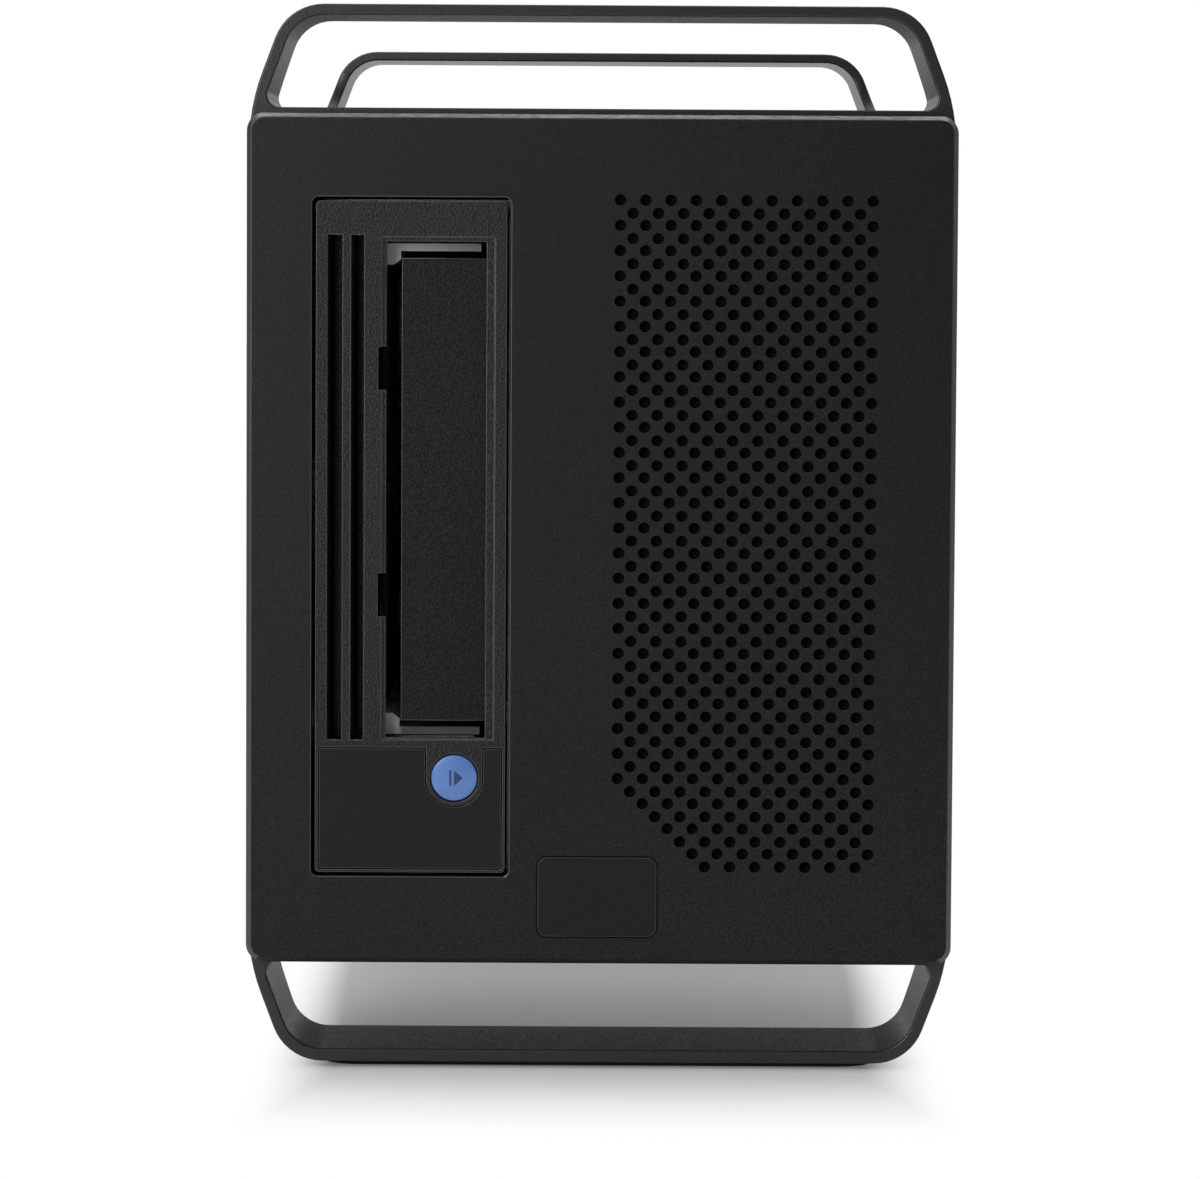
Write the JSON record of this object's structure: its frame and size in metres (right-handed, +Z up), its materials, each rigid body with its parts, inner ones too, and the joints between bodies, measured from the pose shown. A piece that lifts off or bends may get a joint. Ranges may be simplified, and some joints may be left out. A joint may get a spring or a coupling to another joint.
{
  "type": "data tape drive",
  "caption": "Desktop tape drive: a half-height cartridge drive on its side in a black enclosure with hoop handles, hoop feet and a perforated front.",
  "frame": {"origin": "on the resting plane under the middle of the enclosure", "axes": "+X to the right seen from the front, +Y from the front panel to the rear panel, +Z up"},
  "size_m": [0.1564, 0.3333, 0.236],
  "materials": {
    "panel_black": "black anodised, fine grain, bright chamfered edge",
    "badge_metal": "black anodised, satin, bare",
    "filter_foam": "open-cell foam, black",
    "frame_black": "satin black",
    "foot_rubber": "matte",
    "plated_sheet": "zinc plated sheet",
    "screw_black": "blackened",
    "bright_steel": "turned",
    "brass_fitting": "turned",
    "bezel_plastic": "coarse spark texture",
    "window_plastic": "smooth dark smoke",
    "door_plastic": "fine spark texture",
    "button_blue": "smooth translucent",
    "board_green": "solder masked board",
    "cast_alloy": "as cast, machined pads",
    "connector_black": "moulded",
    "cable_grey": "flat ribbon",
    "slider_steel": "pressed and plated",
    "cradle_grey": "light grey moulded",
    "gear_white": "acetal",
    "motor_steel": "drawn can",
    "hub_black": "moulded",
    "reel_grey": "moulded",
    "roller_metal": "turned",
    "head_metal": "ground",
    "magnet_iron": "nickel plated",
    "port_metal": "plated shell",
    "fan_black": "moulded",
    "inlet_black": "moulded",
    "rocker_black": "moulded"
  },
  "bodies": {
    "enclosure": {"front_panel": "panel_black", "rear_panel": "panel_black", "badge_plate": "badge_metal", "dust_filter": "filter_foam", "front_frame": "frame_black", "rear_frame": "frame_black", "body_sleeve": "frame_black", "foot_strips": "foot_rubber", "base_tray": "plated_sheet", "drive_cage": "plated_sheet", "power_supply_case": "plated_sheet", "drive_top_cover": "plated_sheet", "drive_bottom_cover": "plated_sheet", "tray_screws": "screw_black", "panel_screws": "screw_black", "tie_screws": "screw_black", "rear_panel_screws": "screw_black", "fan_screws": "screw_black", "drive_screws": "bright_steel", "bracket_screws": "bright_steel", "board_screws": "bright_steel", "tie_rods": "bright_steel", "door_pin": "bright_steel", "head_posts": "bright_steel", "board_standoffs": "brass_fitting", "drive_bezel": "bezel_plastic", "display_window": "window_plastic", "display_board": "board_green", "controller_board": "board_green", "bridge_board": "board_green", "power_supply_board": "board_green", "drive_chassis": "cast_alloy", "drive_connector": "connector_black", "data_cable": "cable_grey", "loader_motor": "motor_steel", "supply_motor": "motor_steel", "takeup_motor": "motor_steel", "head_magnet": "magnet_iron", "port_connectors": "port_metal", "fan_frame": "fan_black", "power_inlet": "inlet_black", "switch_housing": "inlet_black"},
    "door": {"door_flap": "door_plastic"},
    "button": {"eject_button": "button_blue"},
    "fan": {"fan_rotor": "fan_black"},
    "rocker": {"power_rocker": "rocker_black"},
    "slider": {"loader_slider": "slider_steel"},
    "cradle": {"cartridge_cradle": "cradle_grey"},
    "gear": {"loader_gear": "gear_white"},
    "pinion": {"motor_pinion": "gear_white"},
    "hub": {"supply_hub": "hub_black"},
    "reel": {"takeup_reel": "reel_grey"},
    "roller_1": {"guide_roller_1": "roller_metal"},
    "roller_2": {"guide_roller_2": "roller_metal"},
    "roller_3": {"guide_roller_3": "roller_metal"},
    "roller_4": {"guide_roller_4": "roller_metal"},
    "head": {"head_block": "head_metal"},
    "threader": {"threader_arm": "slider_steel"}
  },
  "joints": [
    {"name": "door_swing", "type": "hinge", "parent": "enclosure", "child": "door", "pos_m": [-0.02405, -0.16185, 0.129], "axis": [0, 0, -1], "range_deg": [0, 85], "stiffness_Nm_per_rad": 0.01},
    {"name": "eject_button_push", "type": "slide", "parent": "enclosure", "child": "button", "axis": [0, 1, 0], "range_m": [0, 0.001], "stiffness_N_per_m": 800},
    {"name": "fan_spin", "type": "hinge", "parent": "enclosure", "child": "fan", "pos_m": [-0.036, 0.1465, 0.118], "axis": [0, 1, 0], "continuous": true},
    {"name": "power_rocker_tilt", "type": "hinge", "parent": "enclosure", "child": "rocker", "pos_m": [0.042, 0.1603, 0.096], "axis": [1, 0, 0], "range_deg": [0, 20]},
    {"name": "loader_slide", "type": "slide", "parent": "enclosure", "child": "slider", "axis": [0, 1, 0], "range_m": [0, 0.018]},
    {"name": "cradle_drop", "type": "slide", "parent": "slider", "child": "cradle", "axis": [-1, 0, 0], "range_m": [0, 0.0036]},
    {"name": "loader_gear_spin", "type": "hinge", "parent": "enclosure", "child": "gear", "pos_m": [-0.05423, -0.1065, 0.06625], "axis": [1, 0, 0], "range_deg": [-186, 1]},
    {"name": "motor_pinion_spin", "type": "hinge", "parent": "enclosure", "child": "pinion", "pos_m": [-0.05423, -0.1014, 0.05742], "axis": [1, 0, 0], "range_deg": [-1, 443]},
    {"name": "supply_hub_spin", "type": "hinge", "parent": "enclosure", "child": "hub", "pos_m": [-0.05423, -0.0945, 0.129], "axis": [1, 0, 0], "continuous": true},
    {"name": "takeup_reel_spin", "type": "hinge", "parent": "enclosure", "child": "reel", "pos_m": [-0.05423, -0.0085, 0.09], "axis": [1, 0, 0], "continuous": true},
    {"name": "guide_roller_1_spin", "type": "hinge", "parent": "enclosure", "child": "roller_1", "pos_m": [-0.05423, -0.0415, 0.171], "axis": [1, 0, 0], "continuous": true},
    {"name": "guide_roller_2_spin", "type": "hinge", "parent": "enclosure", "child": "roller_2", "pos_m": [-0.05423, -0.0295, 0.152], "axis": [1, 0, 0], "continuous": true},
    {"name": "guide_roller_3_spin", "type": "hinge", "parent": "enclosure", "child": "roller_3", "pos_m": [-0.05423, -0.0025, 0.143], "axis": [1, 0, 0], "continuous": true},
    {"name": "guide_roller_4_spin", "type": "hinge", "parent": "enclosure", "child": "roller_4", "pos_m": [-0.05423, 0.0135, 0.13], "axis": [1, 0, 0], "continuous": true},
    {"name": "head_shift", "type": "slide", "parent": "enclosure", "child": "head", "axis": [1, 0, 0], "range_m": [-0.003, 0.003]},
    {"name": "threader_swing", "type": "hinge", "parent": "enclosure", "child": "threader", "pos_m": [-0.05423, -0.0425, 0.06], "axis": [-1, 0, 0], "range_deg": [0, 70]}
  ],
  "couplings": [
    {"joint": "loader_gear_spin", "follows": "loader_slide", "rad_per_m": -178.57},
    {"joint": "motor_pinion_spin", "follows": "loader_slide", "rad_per_m": 428.57}
  ]
}
